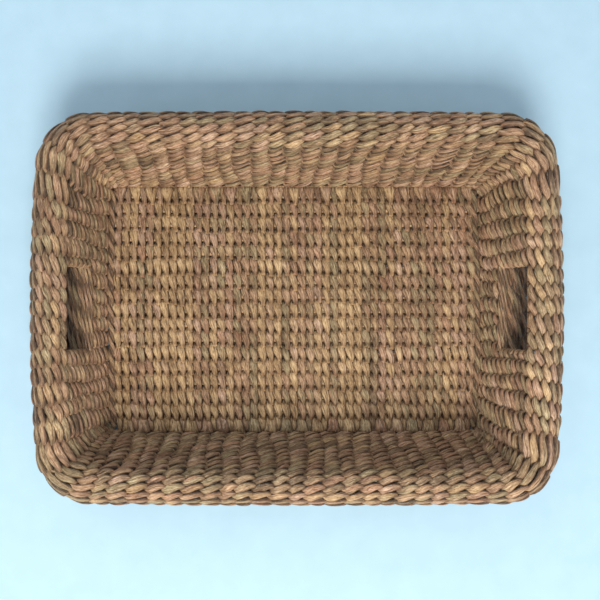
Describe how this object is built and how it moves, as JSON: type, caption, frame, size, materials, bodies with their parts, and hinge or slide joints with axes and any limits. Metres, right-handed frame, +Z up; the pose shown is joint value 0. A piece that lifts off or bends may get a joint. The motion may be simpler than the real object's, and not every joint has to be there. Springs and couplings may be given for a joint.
{
  "type": "bread basket",
  "caption": "Shallow rectangular twined grass bread basket on a wire frame, with flared walls, a rolled rim and a hand hole in each short wall.",
  "frame": {"origin": "centre of the underside, on the plane it stands on", "axes": "+X along the basket's length, +Y along its width, +Z up"},
  "size_m": [0.4504, 0.333, 0.0781],
  "materials": {
    "frame_wire": "satin",
    "seagrass_stake": "matte",
    "seagrass_strand": "satin",
    "twisted_cord": "satin"
  },
  "bodies": {
    "root": {"rim_wire": "frame_wire", "base_ring_wire": "frame_wire", "base_long_wire_front": "frame_wire", "base_long_wire_back": "frame_wire", "handle_uprights_left": "frame_wire", "handle_uprights_right": "frame_wire", "handle_wire_left": "frame_wire", "handle_wire_right": "frame_wire", "side_uprights_front": "frame_wire", "side_uprights_back": "frame_wire", "corner_upright_back_right": "frame_wire", "corner_upright_back_left": "frame_wire", "corner_upright_front_left": "frame_wire", "corner_upright_front_right": "frame_wire", "base_warps": "seagrass_stake", "stakes_front": "seagrass_stake", "stakes_back": "seagrass_stake", "stakes_left": "seagrass_stake", "stakes_right": "seagrass_stake", "grip_stakes": "seagrass_stake", "corner_stakes_back_right": "seagrass_stake", "corner_stakes_back_left": "seagrass_stake", "corner_stakes_front_left": "seagrass_stake", "corner_stakes_front_right": "seagrass_stake", "wall_course_01": "seagrass_strand", "wall_course_02": "seagrass_strand", "wall_course_03": "seagrass_strand", "wall_course_04": "seagrass_strand", "wall_course_05": "seagrass_strand", "wall_course_06": "seagrass_strand", "wall_course_07": "seagrass_strand", "wall_course_08": "seagrass_strand", "wall_course_09": "seagrass_strand", "wall_course_10": "seagrass_strand", "wall_course_11": "seagrass_strand", "wall_course_12": "seagrass_strand", "wall_course_13": "seagrass_strand", "wall_course_14": "seagrass_strand", "wall_course_15": "seagrass_strand", "wall_course_16": "seagrass_strand", "wall_course_17": "seagrass_strand", "wall_course_18": "seagrass_strand", "base_wefts_upper": "seagrass_strand", "base_wefts_lower": "seagrass_strand", "base_end_cord_left": "twisted_cord", "base_end_cord_right": "twisted_cord", "hole_edge_cord_left": "twisted_cord", "hole_edge_cord_right": "twisted_cord", "hole_ledge_cords_left": "twisted_cord", "hole_ledge_cords_right": "twisted_cord", "rim_binding": "twisted_cord"}
  },
  "joints": []
}
